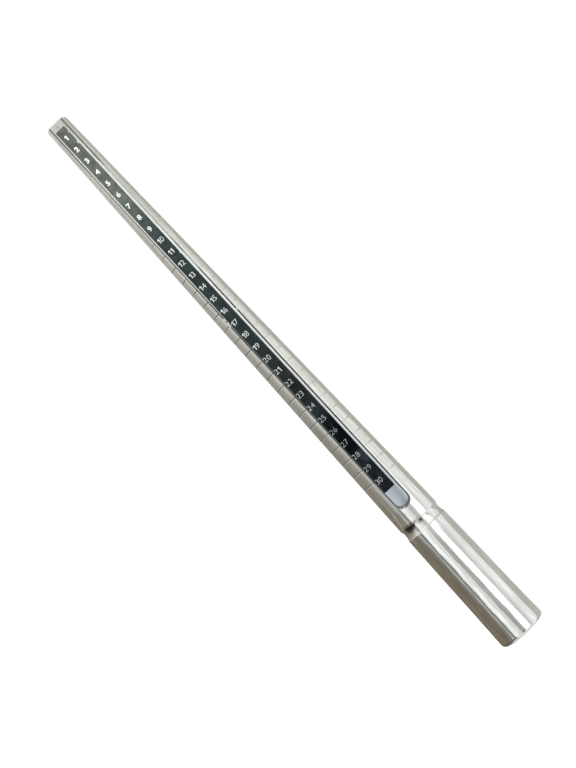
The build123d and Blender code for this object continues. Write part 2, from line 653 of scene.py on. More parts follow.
def build_handling():
    """Traces of use: soft smudges and fine scratches, both from 0 to 1."""
    group, given, result = new_group(
        "handling",
        [
            ("Smudge size", FLOAT, 0.012),
            ("Scratch width", FLOAT, 0.01),
            ("Seed", FLOAT, 0.0),
        ],
        [("Smudge", FLOAT), ("Scratch", FLOAT)],
    )
    place = object_place(group)
    scale = math_node(group, "DIVIDE", 1.0, given.outputs["Smudge size"])
    cloud = put(
        group,
        "ShaderNodeTexNoise",
        {
            "Vector": place,
            "W": given.outputs["Seed"],
            "Scale": scale,
            "Detail": 4.0,
            "Roughness": 0.6,
        },
        noise_dimensions="4D",
    )
    smudge = spread(group, cloud.outputs[0], 0.42, 0.68)
    scratches = []
    for turn, stretch in SCRATCH_LAYERS:
        lie = put(
            group,
            "ShaderNodeMapping",
            {"Vector": place, "Rotation": (turn, turn / 2, 0), "Scale": stretch},
        )
        lines = put(
            group,
            "ShaderNodeTexNoise",
            {
                "Vector": lie.outputs[0],
                "W": given.outputs["Seed"],
                "Scale": 1.0,
                "Detail": 1.0,
            },
            noise_dimensions="4D",
        )
        off = math_node(group, "ABSOLUTE", math_node(group, "SUBTRACT", lines.outputs[0], 0.5))
        near = math_node(group, "DIVIDE", off, given.outputs["Scratch width"])
        scratches.append(math_node(group, "SUBTRACT", 1.0, near, clamp=True))
    both = math_node(group, "MAXIMUM", *scratches)
    broken = math_node(group, "MULTIPLY", both, smudge)
    group.links.new(smudge, result.inputs["Smudge"])
    group.links.new(broken, result.inputs["Scratch"])
    return group


RAGGED_SCALE = 1800.0


def build_worn_spot():
    """An uneven spot round a place: 1 inside and 0 away from it."""
    group, given, result = new_group(
        "spot_mask",
        [
            ("Place", VECTOR, (0, 0, 0)),
            ("Radius", FLOAT, 0.001),
            ("Stretch", VECTOR, (1, 1, 1)),
            ("Softness", FLOAT, 0.45),
        ],
        [("Mask", FLOAT)],
    )
    place = object_place(group)
    offset = put(
        group,
        "ShaderNodeVectorMath",
        {0: place, 1: given.outputs["Place"]},
        operation="SUBTRACT",
    )
    shaped = put(
        group,
        "ShaderNodeVectorMath",
        {0: offset.outputs[0], 1: given.outputs["Stretch"]},
        operation="MULTIPLY",
    )
    away = put(group, "ShaderNodeVectorMath", {0: shaped.outputs[0]}, operation="LENGTH")
    near = math_node(group, "DIVIDE", away.outputs["Value"], given.outputs["Radius"])
    ragged = put(
        group,
        "ShaderNodeTexNoise",
        {"Vector": place, "Scale": RAGGED_SCALE, "Detail": 2.0},
    )
    swing = math_node(group, "ADD", ragged.outputs[0], 0.5)
    share = math_node(group, "MULTIPLY", near, swing)
    core = math_node(group, "SUBTRACT", 1.0, given.outputs["Softness"])
    group.links.new(spread(group, share, 1.0, core), result.inputs["Mask"])
    return group


def build_scale_share():
    """How far up the scale a place is: 0 at the slot's end and 1 at the tip."""
    group, given, result = new_group("scale_share", [], [("Share", FLOAT)])
    split = put(group, "ShaderNodeSeparateXYZ", {0: object_place(group)})
    share = spread(group, split.outputs["Z"], slot_end_height, overall_height, smooth=False)
    group.links.new(share, result.inputs["Share"])
    return group


def share_at(size):
    """The scale share of a place on the scale, held between 0 and 1."""
    share = (size_line_height(size) - slot_end_height) / (overall_height - slot_end_height)
    return min(1, max(0, share))


def scale_stops(stops):
    """Stops of size and colour turned into ones of share and colour, from the slot's end on."""
    return [(share_at(size), colour) for size, colour in reversed(stops)]


def spot_place(size, x_mm, depth):
    """Point on the strip or the slot's floor beside a place on the scale."""
    return crest_frame @ Vector((x_mm * MM, crest_distance(size_line_height(size)), depth))


# Materials
def new_material(name):
    """A material, its node tree and its Principled shader."""
    material = bpy.data.materials.new(name)
    material.use_nodes = True
    return material, material.node_tree, material.node_tree.nodes["Principled BSDF"]


def dress(made, *materials):
    """The piece wears these materials, in the order of its faces' finishes."""
    worn = made.data.materials
    for index, material in enumerate(materials):
        if index < len(worn):
            worn[index] = material
        else:
            worn.append(material)


def between_sizes(tree, share, sizes):
    """A mask that rises from 0 to 1 from the first of two sizes to the last."""
    return spread(tree, share.outputs["Share"], *(share_at(size) for size in sizes))


def between_places(tree, split, ends_mm):
    """A mask that rises from 0 to 1 between two places in x."""
    return spread(tree, split.outputs["X"], *(end * MM for end in ends_mm))


def smudged_roughness(tree, shader, traces, clean, swing):
    """Roughness that rises from its clean value by up to the swing where smudges lie."""
    rise = math_node(tree, "MULTIPLY", traces.outputs["Smudge"], swing)
    tree.links.new(math_node(tree, "ADD", rise, clean), shader.inputs["Roughness"])


# Share of their full depth that lathe marks keep where the metal is polished
POLISHED_MARK_SHARE = 0.1


def metal(
    name,
    colour,
    stained,
    finish,
    rough_swing,
    waves,
    wave_depth,
    mark_pitch,
    mark_depth,
    groups,
    neck=False,
):
    """Bare turned metal; its finish is its roughness at the polished band and at the last size."""
    material, tree, shader = new_material(name)
    marks = use_group(tree, groups["lathe_marks"], Pitch=mark_pitch)
    traces = use_group(tree, groups["handling"], Smudge_size=14 * MM)
    polish = use_group(tree, groups["hand_polish"], Length=waves[0], Width=waves[1])
    tone = math_node(tree, "MULTIPLY", marks.outputs["Tone"], polish.outputs["Tone"])
    toned = put(tree, "ShaderNodeVectorMath", {0: colour, "Scale": tone}, operation="SCALE")
    base = blend_colours(tree, traces.outputs["Smudge"], toned.outputs[0], stained)
    # The neck gets painted dark reflection in its cove and painted shadow above the lip
    if neck:
        base = tarnish_neck(tree, groups, base)
    tree.links.new(base, shader.inputs["Base Color"])
    shader.inputs["Metallic"].default_value = 1
    dull = math_node(tree, "MULTIPLY", traces.outputs["Smudge"], rough_swing)
    scratched = math_node(tree, "MULTIPLY", traces.outputs["Scratch"], rough_swing * 2)
    split = put(tree, "ShaderNodeSeparateXYZ", {0: object_place(tree)})
    reach = (band_top_height, last_line_height)
    clean = spread(tree, split.outputs["Z"], *reach, *finish)
    total = math_node(tree, "ADD", math_node(tree, "ADD", dull, scratched), clean)
    tree.links.new(total, shader.inputs["Roughness"])
    cutting = spread(tree, split.outputs["Z"], *reach, POLISHED_MARK_SHARE, 1.0)
    level = math_node(tree, "SUBTRACT", marks.outputs["Height"], 0.5)
    cut_level = math_node(tree, "MULTIPLY", level, cutting)
    lines = put(tree, "ShaderNodeBump", {"Height": cut_level, "Distance": mark_depth})
    wavy = put(
        tree,
        "ShaderNodeBump",
        {"Height": polish.outputs["Height"], "Distance": wave_depth, "Normal": lines.outputs[0]},
    )
    tree.links.new(wavy.outputs[0], shader.inputs["Normal"])
    return material


# Painted shade in the size lines, by place on the scale: light near the tip and dark towards the
# last size
LINE_SHADE_STOPS = (
    (1, (0.86, 0.86, 0.84)),
    (6, (0.84, 0.84, 0.81)),
    (9, (0.74, 0.73, 0.70)),
    (12, (0.54, 0.56, 0.53)),
    (17, (0.31, 0.325, 0.295)),
    (30, (0.17, 0.175, 0.15)),
)

# From the first of these sizes to the last, the lines turn pale and lose their metal
PALE_LINE_SIZES = (12, 7)
PALE_LINE = (0.45, 0.45, 0.43)

# The painted shade thins out over the first places in x towards the right. It also thins out over
# the second ones towards the stick's left outline, more so from the first of the sizes to the last.
UNSHADED_LINE = (0.86, 0.86, 0.84)
RIGHT_MM = (-1, 3)
OUTER_MM = (-5.8, -7.6)
LESS_SHADE_SIZES = (21, 15)
LINE_PATCHES = 0.4


def line_material(groups):
    """The size lines' metal with painted shade, darker on the stick's left side and lighter on its
    right.
    """
    material, tree, shader = new_material("line_metal_painted_shade")
    share = use_group(tree, groups["scale_share"])
    traces = use_group(tree, groups["handling"], Smudge_size=5 * MM, Seed=7.0)
    line_shade = colour_ramp(tree, share.outputs["Share"], scale_stops(LINE_SHADE_STOPS))
    split = put(tree, "ShaderNodeSeparateXYZ", {0: object_place(tree)})
    patches = math_node(tree, "MULTIPLY", traces.outputs["Smudge"], LINE_PATCHES)
    clean = math_node(tree, "MAXIMUM", between_places(tree, split, RIGHT_MM), patches)
    outer = between_places(tree, split, OUTER_MM)
    cleaner = between_sizes(tree, share, LESS_SHADE_SIZES)
    clean = math_node(tree, "MAXIMUM", clean, math_node(tree, "MULTIPLY", outer, cleaner))
    base = blend_colours(tree, clean, line_shade, UNSHADED_LINE)
    paler = between_sizes(tree, share, PALE_LINE_SIZES)
    tree.links.new(blend_colours(tree, paler, base, PALE_LINE), shader.inputs["Base Color"])
    tree.links.new(math_node(tree, "SUBTRACT", 1.0, paler), shader.inputs["Metallic"])
    smudged_roughness(tree, shader, traces, clean=0.25, swing=0.15)
    return material


# Painted dark reflection in the neck's cove: bearing, height in mm, radius in mm, stretch and
# colour
NECK_REFLECTION_SOFTNESS = 0.85
NECK_PAINTED_REFLECTION = (
    (3, 74.0, 2.4, (1, 1, 1), (0.62, 0.56, 0.53)),
    (-4, 74.4, 2.4, (1, 1, 1), (0.55, 0.49, 0.46)),
    (-14, 75.2, 1.6, (1, 1, 1.2), (0.3, 0.27, 0.25)),
    (-25, 74.5, 2.4, (1, 1, 1), (0.2, 0.175, 0.15)),
    (-33, 74.0, 3.0, (1, 1, 1), (0.16, 0.14, 0.12)),
    (-45, 74.0, 3.4, (1, 1, 1), (0.2, 0.175, 0.14)),
)

# Painted shadow in patches in the corner above the handle's lip, only to the right of these places
# in x
LIP_SHADOW = (0.62, 0.62, 0.6)
lip_shadow_height = 69.75 * MM
lip_shadow_reach = 0.55 * MM
LIP_SHADOW_CORE = 0.3
LIP_PATCH_SCALE = 260.0
LIP_SHADOW_MM = (0.5, 2)


def tarnish_neck(tree, groups, base):
    """The base colour with the neck's painted dark reflection and the painted shadow above the
    handle's lip.
    """
    for bearing, height_mm, radius_mm, stretch, tint in NECK_PAINTED_REFLECTION:
        spot = use_group(
            tree,
            groups["spot_mask"],
            Place=bearing_point(bearing, neck_floor_radius, height_mm * MM),
            Radius=radius_mm * MM,
            Stretch=stretch,
            Softness=NECK_REFLECTION_SOFTNESS,
        )
        base = blend_colours(tree, spot.outputs["Mask"], base, tint)
    split = put(tree, "ShaderNodeSeparateXYZ", {0: object_place(tree)})
    above = math_node(tree, "SUBTRACT", split.outputs["Z"], lip_shadow_height)
    away = math_node(tree, "ABSOLUTE", above)
    line = spread(tree, away, lip_shadow_reach, lip_shadow_reach * LIP_SHADOW_CORE)
    patches = put(
        tree,
        "ShaderNodeTexNoise",
        {"Vector": object_place(tree), "Scale": LIP_PATCH_SCALE, "Detail": 1.0},
    )
    patchy = math_node(tree, "MULTIPLY", line, spread(tree, patches.outputs[0], 0.38, 0.5))
    mask = math_node(tree, "MULTIPLY", patchy, between_places(tree, split, LIP_SHADOW_MM))
    return blend_colours(tree, mask, base, LIP_SHADOW)


# Painted shade of the slot's metal on its right and left, by place on the scale: dark in the narrow
# gap beside the strip and lighter where it is lit. The left ones give way to the right ones between
# two places in x.
SLOT_RIGHT_STOPS = (
    (0.3, (0.13, 0.13, 0.115)),
    (3.4, (0.11, 0.11, 0.10)),
    (4.4, (0.46, 0.47, 0.44)),
    (10.2, (0.44, 0.46, 0.43)),
    (10.9, (0.16, 0.175, 0.165)),
    (11.4, (0.18, 0.195, 0.185)),
    (11.8, (0.40, 0.42, 0.40)),
    (12.6, (0.38, 0.40, 0.38)),
    (13.2, (0.12, 0.13, 0.12)),
    (15, (0.055, 0.065, 0.06)),
    (25, (0.035, 0.042, 0.04)),
    (30, (0.07, 0.075, 0.075)),
    (33, (0.17, 0.175, 0.18)),
)
SLOT_LEFT_STOPS = (
    (0.3, (0.13, 0.13, 0.115)),
    (3.4, (0.11, 0.11, 0.10)),
    (4.6, (0.26, 0.27, 0.25)),
    (9.4, (0.24, 0.25, 0.24)),
    (12, (0.15, 0.165, 0.155)),
    (15, (0.10, 0.11, 0.10)),
    (25, (0.09, 0.10, 0.09)),
    (30, (0.14, 0.15, 0.14)),
    (33, (0.19, 0.195, 0.19)),
)
SLOT_MIDDLE_MM = (-1, 1)
SLOT_DUST = (0.25, 0.25, 0.23)
SLOT_HIGHLIGHT = (0.75, 0.76, 0.76)

# Painted highlights in the slot: place on the scale, x in mm, radius in mm, stretch
SLOT_HIGHLIGHT_SPOTS = (
    (32.3, -1.6, 0.6, (1, 1, 1)),
    (16.5, 4.3, 0.6, (0.4, 0.4, 1)),
    (16.5, -4.2, 0.8, (1, 1, 0.7)),
    (16.9, -4.3, 1.1, (1, 1, 0.55)),
)


def add_spots(tree, groups, base, depth, colour, spots, strength=1.0):
    """The base colour with spots of another colour, worn spots and painted highlights, at a depth
    from the crest.
    """
    for size, x_mm, radius_mm, stretch in spots:
        spot = use_group(
            tree,
            groups["spot_mask"],
            Place=spot_place(size, x_mm, depth),
            Radius=radius_mm * MM,
            Stretch=stretch,
        )
        mask = math_node(tree, "MULTIPLY", spot.outputs["Mask"], strength)
        base = blend_colours(tree, mask, base, colour)
    return base


def slot_material(groups):
    """The milled slot: painted shade in its narrow gap, darker towards its end, with dust and
    painted highlights.
    """
    material, tree, shader = new_material("slot_metal_painted_shade")
    share = use_group(tree, groups["scale_share"])
    traces = use_group(tree, groups["handling"], Smudge_size=4 * MM, Seed=2.0)
    left = colour_ramp(tree, share.outputs["Share"], scale_stops(SLOT_LEFT_STOPS))
    right = colour_ramp(tree, share.outputs["Share"], scale_stops(SLOT_RIGHT_STOPS))
    split = put(tree, "ShaderNodeSeparateXYZ", {0: object_place(tree)})
    slot_shade = blend_colours(tree, between_places(tree, split, SLOT_MIDDLE_MM), left, right)
    dust = math_node(tree, "MULTIPLY", traces.outputs["Smudge"], 0.2)
    base = blend_colours(tree, dust, slot_shade, SLOT_DUST)
    base = add_spots(tree, groups, base, -slot_depth, SLOT_HIGHLIGHT, SLOT_HIGHLIGHT_SPOTS)
    tree.links.new(base, shader.inputs["Base Color"])
    shader.inputs["Metallic"].default_value = 0.5
    smudged_roughness(tree, shader, traces, clean=0.45, swing=0.2)
    marks = use_group(tree, groups["lathe_marks"], Pitch=0.6 * MM)
    lines = put(tree, "ShaderNodeBump", {"Height": marks.outputs["Height"], "Distance": 0.01 * MM})
    tree.links.new(lines.outputs[0], shader.inputs["Normal"])
    return material


# Dull spots at the bare upper end of the strip, given in the same way
STRIP_SPOTS = ((0.1, -0.5, 0.8, (0.6, 1, 1)), (0.22, -0.1, 0.5, (1, 1, 0.6)))
STRIP_SPOT_COLOUR = (0.5, 0.5, 0.48)
STRIP_DULL = (0.52, 0.53, 0.52)

# The strip is brushed along its length: scale of the grain along each axis
BRUSH_SCALE = (9000, 9000, 250)

# Colours of the strip's metal, by place on the scale
STRIP_STOPS = (
    (0.5, (0.68, 0.69, 0.65)),
    (2.5, (0.97, 0.98, 0.94)),
    (13, (0.97, 0.98, 0.95)),
    (17, (0.86, 0.88, 0.86)),
    (28, (0.78, 0.81, 0.82)),
    (31, (0.57, 0.62, 0.70)),
)

# Painted shade along the strip's left edge, beside the slot's wall. It rises over the first sizes
# and ends over the last, and it starts between these places in x.
EDGE_SHADE_SIZES = (13, 18)
EDGE_SHADE_END_SIZES = (31, 30.8)
EDGE_SHADE_MM = (-3.3, -3.5)
STRIP_EDGE_SHADE = (0.12, 0.128, 0.122)


def strip_material(groups):
    """Thin brushed sheet, bluish at its end and warmer towards the tip, with painted shade along
    its left edge.
    """
    material, tree, shader = new_material("brushed_strip_metal")
    share = use_group(tree, groups["scale_share"])
    traces = use_group(tree, groups["handling"], Smudge_size=6 * MM, Seed=5.0)
    tint = colour_ramp(tree, share.outputs["Share"], scale_stops(STRIP_STOPS))
    stretched = put(
        tree,
        "ShaderNodeMapping",
        {"Vector": object_place(tree), "Scale": BRUSH_SCALE},
    )
    grain = put(
        tree,
        "ShaderNodeTexNoise",
        {"Vector": stretched.outputs[0], "Scale": 1.0, "Detail": 3.0},
    )
    tone = spread(tree, grain.outputs[0], 0.3, 0.7, 0.93, 1.04)
    brushed = put(tree, "ShaderNodeVectorMath", {0: tint, "Scale": tone}, operation="SCALE")
    dull = math_node(tree, "MULTIPLY", traces.outputs["Smudge"], 0.2)
    base = blend_colours(tree, dull, brushed.outputs[0], STRIP_DULL)
    face = -slot_depth + strip_thickness
    base = add_spots(tree, groups, base, face, STRIP_SPOT_COLOUR, STRIP_SPOTS, 0.8)
    split = put(tree, "ShaderNodeSeparateXYZ", {0: object_place(tree)})
    # Painted shade along the strip's left edge: dark and not metallic
    edge_shaded = between_places(tree, split, EDGE_SHADE_MM)
    for sizes in (EDGE_SHADE_SIZES, EDGE_SHADE_END_SIZES):
        edge_shaded = math_node(tree, "MULTIPLY", edge_shaded, between_sizes(tree, share, sizes))
    tree.links.new(blend_colours(tree, edge_shaded, base, STRIP_EDGE_SHADE), shader.inputs["Base Color"])
    tree.links.new(math_node(tree, "SUBTRACT", 1.0, edge_shaded), shader.inputs["Metallic"])
    smudged_roughness(tree, shader, traces, clean=0.27, swing=0.12)
    lines = put(tree, "ShaderNodeBump", {"Height": grain.outputs[0], "Distance": 0.002 * MM})
    tree.links.new(lines.outputs[0], shader.inputs["Normal"])
    return material


# Black print with painted sheen, by place on the scale: greyer towards the tip, for its gloss
# reflection
FIELD_SHEEN_STOPS = (
    (1, (0.094, 0.10, 0.092)),
    (6.5, (0.098, 0.108, 0.10)),
    (8.5, (0.049, 0.061, 0.056)),
    (10.5, (0.025, 0.035, 0.034)),
    (14.5, (0.019, 0.027, 0.026)),
    (18.5, (0.015, 0.0215, 0.021)),
    (22.5, (0.0095, 0.012, 0.0115)),
    (24.7, (0.010, 0.013, 0.015)),
    (25.4, (0.001, 0.002, 0.0025)),
    (27.6, (0.001, 0.0015, 0.0025)),
    (28.5, (0.005, 0.008, 0.0115)),
    (30.5, (0.006, 0.008, 0.010)),
)

# Spots rubbed off the print and a faint bloom on it, given in the same way
FIELD_SPOTS = (
    (1.75, 2.6, 0.75, (1, 1, 0.7)),
    (0.85, 2.3, 0.3, (1, 1, 0.5)),
    (11.45, 3.05, 0.8, (1, 1, 0.5)),
)
FIELD_BLOOM = ((28.35, 1.4, 2.8, (1, 1, 0.6)),)
BARE_METAL = (0.6, 0.63, 0.62)
BLOOM_COLOUR = (0.16, 0.2, 0.26)
PRINT_SCRATCH = (0.4, 0.42, 0.42)
MOTTLE_SCALE = 320.0


def field_material(groups):
    """Black print with painted sheen, grey near the tip, mottled, with a few rubbed spots."""
    material, tree, shader = new_material("black_print_wear_and_sheen")
    share = use_group(tree, groups["scale_share"])
    traces = use_group(
        tree,
        groups["handling"],
        Smudge_size=7 * MM,
        Scratch_width=0.02,
        Seed=9.0,
    )
    ink = colour_ramp(tree, share.outputs["Share"], scale_stops(FIELD_SHEEN_STOPS))
    cloud = put(
        tree,
        "ShaderNodeTexNoise",
        {"Vector": object_place(tree), "Scale": MOTTLE_SCALE, "Detail": 4.0},
    )
    mottle = spread(tree, cloud.outputs[0], 0.3, 0.7, 0.8, 1.2)
    mottled = put(tree, "ShaderNodeVectorMath", {0: ink, "Scale": mottle}, operation="SCALE")
    rubbed = math_node(tree, "MULTIPLY", traces.outputs["Scratch"], 0.05)
    base = blend_colours(tree, rubbed, mottled.outputs[0], PRINT_SCRATCH)
    face = -slot_depth + strip_thickness + field_thickness
    base = add_spots(tree, groups, base, face, BLOOM_COLOUR, FIELD_BLOOM, 0.07)
    base = add_spots(tree, groups, base, face, BARE_METAL, FIELD_SPOTS, 0.7)
    tree.links.new(base, shader.inputs["Base Color"])
    shader.inputs["Specular IOR Level"].default_value = 0.05
    smudged_roughness(tree, shader, traces, clean=0.38, swing=0.15)
    lines = put(tree, "ShaderNodeBump", {"Height": cloud.outputs[0], "Distance": 0.01 * MM})
    tree.links.new(lines.outputs[0], shader.inputs["Normal"])
    return material


# Silver of the numerals, by place on the scale
NUMERAL_STOPS = (
    (1, (0.83, 0.85, 0.83)),
    (8.5, (0.70, 0.74, 0.72)),
    (11, (0.58, 0.62, 0.61)),
    (15, (0.54, 0.58, 0.58)),
    (19, (0.50, 0.54, 0.55)),
    (23, (0.36, 0.38, 0.40)),
    (24.5, (0.36, 0.38, 0.40)),
    (26, (0.18, 0.195, 0.21)),
    (27, (0.19, 0.205, 0.22)),
    (28, (0.30, 0.32, 0.345)),
    (29, (0.23, 0.24, 0.255)),
    (30, (0.29, 0.305, 0.325)),
)
PRINT_WEAR_SCALE = 1500.0


def numeral_material(groups):
    """Silvery white print, greyer towards the last size, thinned at random."""
    material, tree, shader = new_material("worn_numeral_print")
    share = use_group(tree, groups["scale_share"])
    ink = colour_ramp(tree, share.outputs["Share"], scale_stops(NUMERAL_STOPS))
    cloud = put(
        tree,
        "ShaderNodeTexNoise",
        {"Vector": object_place(tree), "Scale": PRINT_WEAR_SCALE, "Detail": 3.0},
    )
    thin = spread(tree, cloud.outputs[0], 0.35, 0.65, 0.8, 1.1)
    base = put(tree, "ShaderNodeVectorMath", {0: ink, "Scale": thin}, operation="SCALE")
    tree.links.new(base.outputs[0], shader.inputs["Base Color"])
    shader.inputs["Specular IOR Level"].default_value = 0.3
    tree.links.new(spread(tree, cloud.outputs[0], 0.3, 0.7, 0.4, 0.6), shader.inputs["Roughness"])
    return material


# Camera: it looks at the stick from the front, a little above the handle's end, rolled so
# that the stick leans to the left across the picture
camera_side = Matrix.Rotation(math.radians(camera_turn), 3, "Z")
camera_place = camera_side @ Vector((14.3, -600.0, 103.2)) * MM
camera_target = camera_side @ Vector((-2.9, 0.0, 168.1)) * MM
camera_lean = math.radians(-42.68)
FOCAL_PIXELS = 1193.6


def build_camera():
    """The camera at the photograph's viewing angle."""
    data = bpy.data.cameras.new("camera")
    data.sensor_width = SENSOR_WIDTH_MM
    data.lens = FOCAL_PIXELS * SENSOR_WIDTH_MM / IMAGE_LONG_SIDE
    data.clip_start = 0.01
    made = bpy.data.objects.new("camera", data)
    bpy.context.collection.objects.link(made)
    ahead = (camera_target - camera_place).normalized()
    side = ahead.cross(Vector((0, 0, 1))).normalized()
    upright = side.cross(ahead)
    up = math.cos(camera_lean) * upright - math.sin(camera_lean) * side
    right = math.sin(camera_lean) * upright + math.cos(camera_lean) * side
    turn = Matrix((right, up, -ahead)).transposed()
    made.matrix_world = Matrix.Translation(camera_place) @ turn.to_4x4()
    bpy.context.scene.camera = made


# Studio: two rings of upright panels stand round the stick, seen only in its reflections.
# Each panel has a start and an end bearing, counted from the camera's side towards +X, and
# the colours that it has at the ring's heights.
panel_distance = 1.0
PANEL_STEP = 3
LOW_HEIGHTS = (-1.0, -0.45, -0.2, 0.03)
DARK = (0.24, 0.22, 0.19)
DARKER = (0.09, 0.08, 0.068)
LOW_PANELS = (
    (96, 180, ((0.5, 0.5, 0.47), (0.5, 0.5, 0.47), (0.50, 0.51, 0.47), (0.50, 0.51, 0.47))),
    (66, 96, ((0.9, 0.91, 0.89),) * 4),
    (54, 66, ((0.77, 0.78, 0.77),) * 4),
    (42, 54, ((0.62, 0.63, 0.62),) * 4),
    (12.7, 42, ((1.25, 1.25, 1.25),) * 4),
    (-9, 12.7, ((0.16, 0.14, 0.13), (0.12, 0.10, 0.09), (0.42, 0.42, 0.41), (0.42, 0.42, 0.41))),
    (-24, -9, ((0.8, 0.8, 0.79),) * 4),
    (-41.6, -24, ((0.9, 0.9, 0.88), (1.0, 1.0, 0.98), (1.0, 1.0, 0.98), (1.0, 1.0, 0.98))),
    (-53, -41.6, (DARK, DARKER, (0.24, 0.26, 0.26), (0.24, 0.26, 0.26))),
    (-60, -53, (DARK, DARKER, (0.44, 0.46, 0.44), (0.44, 0.46, 0.44))),
    (-73, -60, (DARK, DARKER, (0.205, 0.19, 0.155), (0.21, 0.195, 0.16))),
    (-105, -73, (DARK, DARKER, (0.175, 0.155, 0.12), (0.18, 0.16, 0.125))),
    (-180, -105, (DARK, DARKER, (0.20, 0.168, 0.12), (0.205, 0.175, 0.13))),
)
HIGH_HEIGHTS = (0.03, 0.45, 0.8, 1.8)
HIGH_PANELS = (
    (108, 180, ((0.47, 0.48, 0.43), (0.44, 0.45, 0.40), (0.455, 0.46, 0.41), (0.6, 0.6, 0.56))),
    (84, 108, ((0.84, 0.86, 0.82), (0.72, 0.735, 0.70), (0.56, 0.57, 0.53), (0.75, 0.75, 0.72))),
    (66, 84, ((0.88, 0.9, 0.86), (0.82, 0.84, 0.80), (0.72, 0.71, 0.67), (0.75, 0.75, 0.72))),
    (51, 66, ((0.69, 0.70, 0.69), (0.88, 0.9, 0.87), (0.8, 0.8, 0.78), (0.8, 0.8, 0.78))),
    (17, 51, ((1.25, 1.25, 1.25),) * 4),
    (-5.5, 17, ((0.55, 0.56, 0.55), (0.6, 0.61, 0.6), (0.9, 0.91, 0.89), (0.9, 0.91, 0.89))),
    (-23, -5.5, ((0.83, 0.85, 0.82),) * 4),
    (-40.6, -23, ((1.0, 1.02, 1.0),) * 4),
    (-53, -40.6, ((0.25, 0.26, 0.25), (0.38, 0.39, 0.38), (0.6, 0.6, 0.57), (0.8, 0.8, 0.77))),
    (-66, -53, ((0.42, 0.44, 0.43), (0.80, 0.81, 0.78), (0.9, 0.9, 0.87), (0.85, 0.85, 0.82))),
    (-80, -66, ((0.22, 0.21, 0.18), (0.68, 0.68, 0.64), (0.92, 0.92, 0.88), (0.85, 0.85, 0.82))),
    (-95, -80, ((0.21, 0.195, 0.165), (0.47, 0.465, 0.43), (0.70, 0.70, 0.66), (0.85, 0.85, 0.82))),
    (-180, -95, ((0.20, 0.18, 0.14), (0.41, 0.405, 0.37), (0.62, 0.62, 0.58), (0.75, 0.75, 0.72))),
)


def glow_material(name, heights, colours):
    """Emission whose colour changes with height."""
    material = bpy.data.materials.new(name)
    material.use_nodes = True
    tree = material.node_tree
    tree.nodes.clear()
    split = put(tree, "ShaderNodeSeparateXYZ", {0: object_place(tree)})
    share = spread(tree, split.outputs["Z"], heights[0], heights[-1], smooth=False)
    reach = heights[-1] - heights[0]
    stops = [((height - heights[0]) / reach, colour) for height, colour in zip(heights, colours)]
    glow = put(tree, "ShaderNodeEmission", {"Color": colour_ramp(tree, share, stops)})
    put(tree, "ShaderNodeOutputMaterial", {"Surface": glow.outputs[0]})
    return material


def plain_glow(name, colour):
    """Emission of one colour."""
    return glow_material(name, (0, 1), (colour, colour))


def stage_mesh(name, vertices, faces, finishes, materials):
    """A studio mesh that the camera doesn't see and that casts no shadow."""
    mesh = bpy.data.meshes.new(name)
    mesh.from_pydata(vertices, [], faces)
    mesh.polygons.foreach_set("material_index", finishes)
    made = bpy.data.objects.new(name, mesh)
    bpy.context.collection.objects.link(made)
    dress(made, *materials)
    made.visible_camera = False
    made.visible_shadow = False
    return made


def build_ring(name, heights, panels):
    """A ring of panels between its lowest and highest height."""
    vertices, faces, finishes, materials = [], [], [], []
    for index, (start, end, colours) in enumerate(panels):
        materials.append(glow_material(f"{name}_{index}", heights, colours))
        steps = max(2, round((end - start) / PANEL_STEP))
        first = len(vertices)
        for step in range(steps + 1):
            bearing = start + (end - start) * step / steps
            for height in (heights[0], heights[-1]):
                vertices.append(bearing_point(bearing, panel_distance, height))
        for step in range(steps):
            low = first + 2 * step
            faces.append((low, low + 2, low + 3, low + 1))
            finishes.append(index)
    stage_mesh(name, vertices, faces, finishes, materials)


# The table's dark sector starts behind and runs round by the left to this bearing, outside
# this radius. The ceiling is light up to its own bearing and grey from there on.
BEARINGS = range(-180, 180, 4)
TABLE_DARK_END = -44
table_dark_radius = 0.8
TABLE_LIGHT = (0.8, 0.8, 0.78)
CEILING_LIGHT_END = 16
CEILING_LIGHT = (0.85, 0.85, 0.83)
CEILING_GREY = (0.3, 0.3, 0.29)


def build_table():
    """What down-facing metal sees: a light table with a dark sector far to the left."""
    height = LOW_HEIGHTS[0]
    vertices, faces, finishes = [(0, 0, height)], [], []
    for bearing in BEARINGS:
        vertices.append(bearing_point(bearing, table_dark_radius, height))
        vertices.append(bearing_point(bearing, panel_distance, height))
    for step, bearing in enumerate(BEARINGS):
        near, far = 1 + 2 * step, 2 + 2 * step
        next_near = 1 + 2 * ((step + 1) % len(BEARINGS))
        faces += [(0, near, next_near), (near, far, next_near + 1, next_near)]
        finishes += [0, 1 if bearing < TABLE_DARK_END else 0]
    glows = (plain_glow("table_light", TABLE_LIGHT), plain_glow("table_dark", DARK))
    stage_mesh("table", vertices, faces, finishes, glows)


def build_ceiling():
    """What up-facing metal sees: grey on the right and light on the left."""
    height = HIGH_HEIGHTS[-1]
    edge = [bearing_point(bearing, panel_distance, height) for bearing in BEARINGS]
    count = len(edge)
    faces = [(0, 1 + step, 1 + (step + 1) % count) for step in range(count)]
    finishes = [0 if bearing < CEILING_LIGHT_END else 1 for bearing in BEARINGS]
    glows = (plain_glow("ceiling_light", CEILING_LIGHT), plain_glow("ceiling_grey", CEILING_GREY))
    stage_mesh("ceiling", [(0, 0, height), *edge], faces, finishes, glows)


# A thin warm streak low on the left, from its first bearing and height to its last
STREAK_BEARINGS = (-96, -128)
STREAK_HEIGHTS = (0.075, 0.030)
STREAK_STEPS = 12
STREAK_COLOUR = (1.0, 0.93, 0.73)
streak_spread = 4.0
streak_distance = 0.99 * panel_distance


